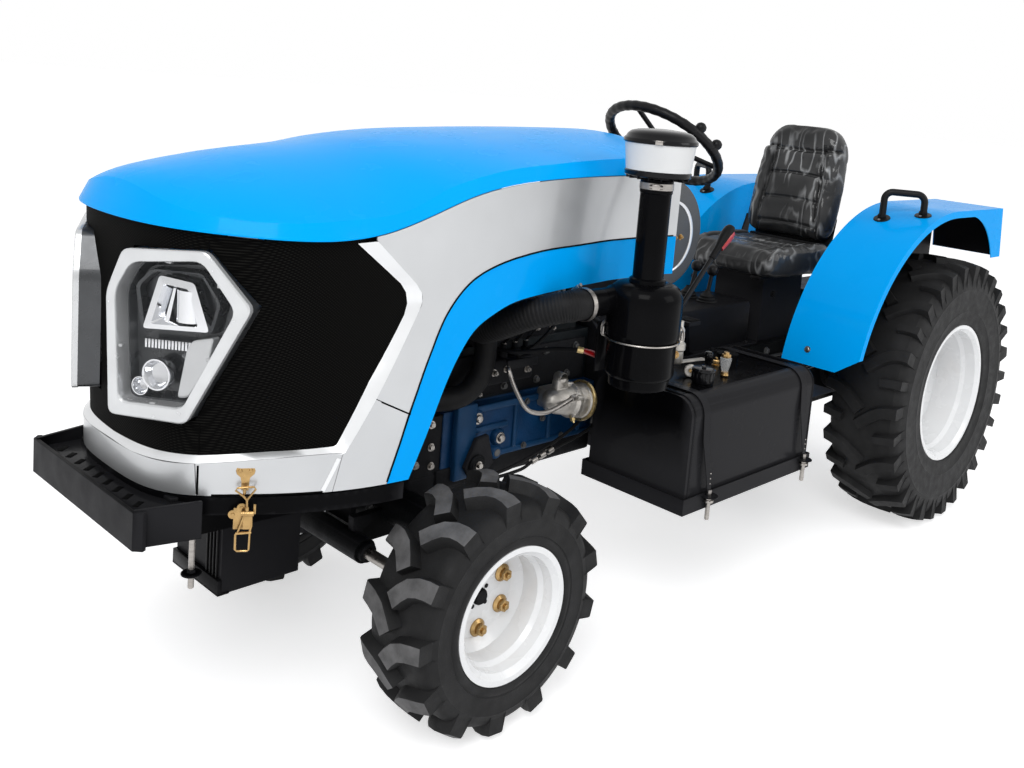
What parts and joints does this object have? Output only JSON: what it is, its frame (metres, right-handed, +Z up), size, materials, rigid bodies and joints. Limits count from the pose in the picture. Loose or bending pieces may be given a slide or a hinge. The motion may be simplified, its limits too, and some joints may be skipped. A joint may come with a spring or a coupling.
{
  "type": "greenhouse tractor",
  "caption": "Low narrow four-wheel-drive tractor with open driver's place, tilting bonnet, steered front wheels and rear three-point hitch.",
  "frame": {"origin": "on the ground, midway between the bumper's front face and the hitch links' ends, on the centre plane", "axes": "+X forward, +Y to the tractor's left, +Z up"},
  "size_m": [3.613, 1.248, 1.4185],
  "materials": {
    "tyre": "matte",
    "white_paint": "gloss",
    "blue_paint": "gloss",
    "silver_paint": "metallic",
    "black_paint": "gloss",
    "engine_blue": "satin",
    "cast_black": "satin",
    "steel": "satin",
    "rubber": "matte",
    "vinyl": "satin",
    "mesh_black": "matte",
    "lamp": "gloss",
    "brass": "satin",
    "plastic_black": "gloss",
    "plastic_white": "gloss",
    "plastic_grey": "satin",
    "aluminium": "satin"
  },
  "bodies": {
    "chassis": {"front_frame": "black_paint", "front_bumper": "black_paint", "battery_box": "black_paint", "front_axle": "cast_black", "steering_cylinder": "black_paint", "engine_block": "engine_blue", "radiator": "aluminium", "transmission": "cast_black", "rear_axle": "cast_black", "lift_case": "cast_black", "drawbar": "cast_black", "fuel_tank": "black_paint", "tank_tray": "black_paint", "air_cleaner": "black_paint", "pre_cleaner": "plastic_white", "intake_hose": "rubber", "exhaust": "cast_black", "dash_console": "plastic_grey", "control_levers": "plastic_black", "pedals": "cast_black", "footboards": "black_paint", "seat_base": "black_paint", "seat_cushion": "vinyl", "seat_back": "vinyl", "fender_left": "blue_paint", "fender_right": "blue_paint", "grab_handles": "plastic_black"},
    "bonnet": {"bonnet_top": "blue_paint", "bonnet_sides": "silver_paint", "arch_trims": "blue_paint", "grille": "mesh_black", "nose_band": "silver_paint", "headlights": "lamp", "bonnet_latches": "brass"},
    "steering_wheel": {"steering_wheel": "plastic_black"},
    "knuckle_left": {"knuckle_left": "cast_black"},
    "knuckle_right": {"knuckle_right": "cast_black"},
    "steering_rod": {"steering_rod": "steel"},
    "front_wheel_left": {"front_rim_left": "white_paint", "front_tyre_left": "tyre"},
    "front_wheel_right": {"front_rim_right": "white_paint", "front_tyre_right": "tyre"},
    "rear_wheel_left": {"rear_rim_left": "white_paint", "rear_tyre_left": "tyre"},
    "rear_wheel_right": {"rear_rim_right": "white_paint", "rear_tyre_right": "tyre"},
    "lift_arms": {"lift_arms": "cast_black"},
    "lower_links": {"lower_links": "cast_black"},
    "lift_rods": {"lift_rods": "steel"}
  },
  "joints": [
    {"name": "left_knuckle_steer", "type": "hinge", "parent": "chassis", "child": "knuckle_left", "pos_m": [1.0835, 0.285, 0.338], "axis": [0, 0, 1], "range_deg": [-35, 35]},
    {"name": "right_knuckle_steer", "type": "hinge", "parent": "chassis", "child": "knuckle_right", "pos_m": [1.0835, -0.285, 0.338], "axis": [0, 0, 1], "range_deg": [-36, 36]},
    {"name": "steering_wheel_turn", "type": "hinge", "parent": "chassis", "child": "steering_wheel", "pos_m": [0.0195, 0, 1.29], "axis": [-0.606, 0, 0.7955], "range_deg": [-460, 460]},
    {"name": "steering_rod_slide", "type": "slide", "parent": "chassis", "child": "steering_rod", "axis": [0, 1, 0], "range_m": [-0.07506, 0.07506]},
    {"name": "bonnet_hinge", "type": "hinge", "parent": "chassis", "child": "bonnet", "pos_m": [0.3935, 0, 1.262], "axis": [0, -1, 0], "range_deg": [0, 50]},
    {"name": "front_left_wheel_spin", "type": "hinge", "parent": "knuckle_left", "child": "front_wheel_left", "pos_m": [1.0835, 0.448, 0.286], "axis": [0, 1, 0], "continuous": true},
    {"name": "rear_left_wheel_spin", "type": "hinge", "parent": "chassis", "child": "rear_wheel_left", "pos_m": [-1.0065, 0.492, 0.478], "axis": [0, 1, 0], "continuous": true},
    {"name": "front_right_wheel_spin", "type": "hinge", "parent": "knuckle_right", "child": "front_wheel_right", "pos_m": [1.0835, -0.448, 0.286], "axis": [0, 1, 0], "continuous": true},
    {"name": "rear_right_wheel_spin", "type": "hinge", "parent": "chassis", "child": "rear_wheel_right", "pos_m": [-1.0065, -0.492, 0.478], "axis": [0, 1, 0], "continuous": true},
    {"name": "lower_links_lift", "type": "hinge", "parent": "chassis", "child": "lower_links", "pos_m": [-1.0665, 0, 0.35], "axis": [0, 1, 0], "range_deg": [-5, 22]},
    {"name": "lift_arms_turn", "type": "hinge", "parent": "chassis", "child": "lift_arms", "pos_m": [-1.1015, 0, 0.7], "axis": [0, 1, 0], "range_deg": [-12, 45]},
    {"name": "lift_rods_swing", "type": "hinge", "parent": "lift_arms", "child": "lift_rods", "pos_m": [-1.3315, 0, 0.7], "axis": [0, 1, 0], "range_deg": [-50, 15]}
  ],
  "couplings": [
    {"joint": "right_knuckle_steer", "follows": "left_knuckle_steer", "ratio": 1},
    {"joint": "steering_wheel_turn", "follows": "left_knuckle_steer", "ratio": 13},
    {"joint": "steering_rod_slide", "follows": "left_knuckle_steer", "m_per_rad": 0.12206},
    {"joint": "lift_arms_turn", "follows": "lower_links_lift", "ratio": 1.75},
    {"joint": "lift_rods_swing", "follows": "lower_links_lift", "ratio": -1.9}
  ]
}
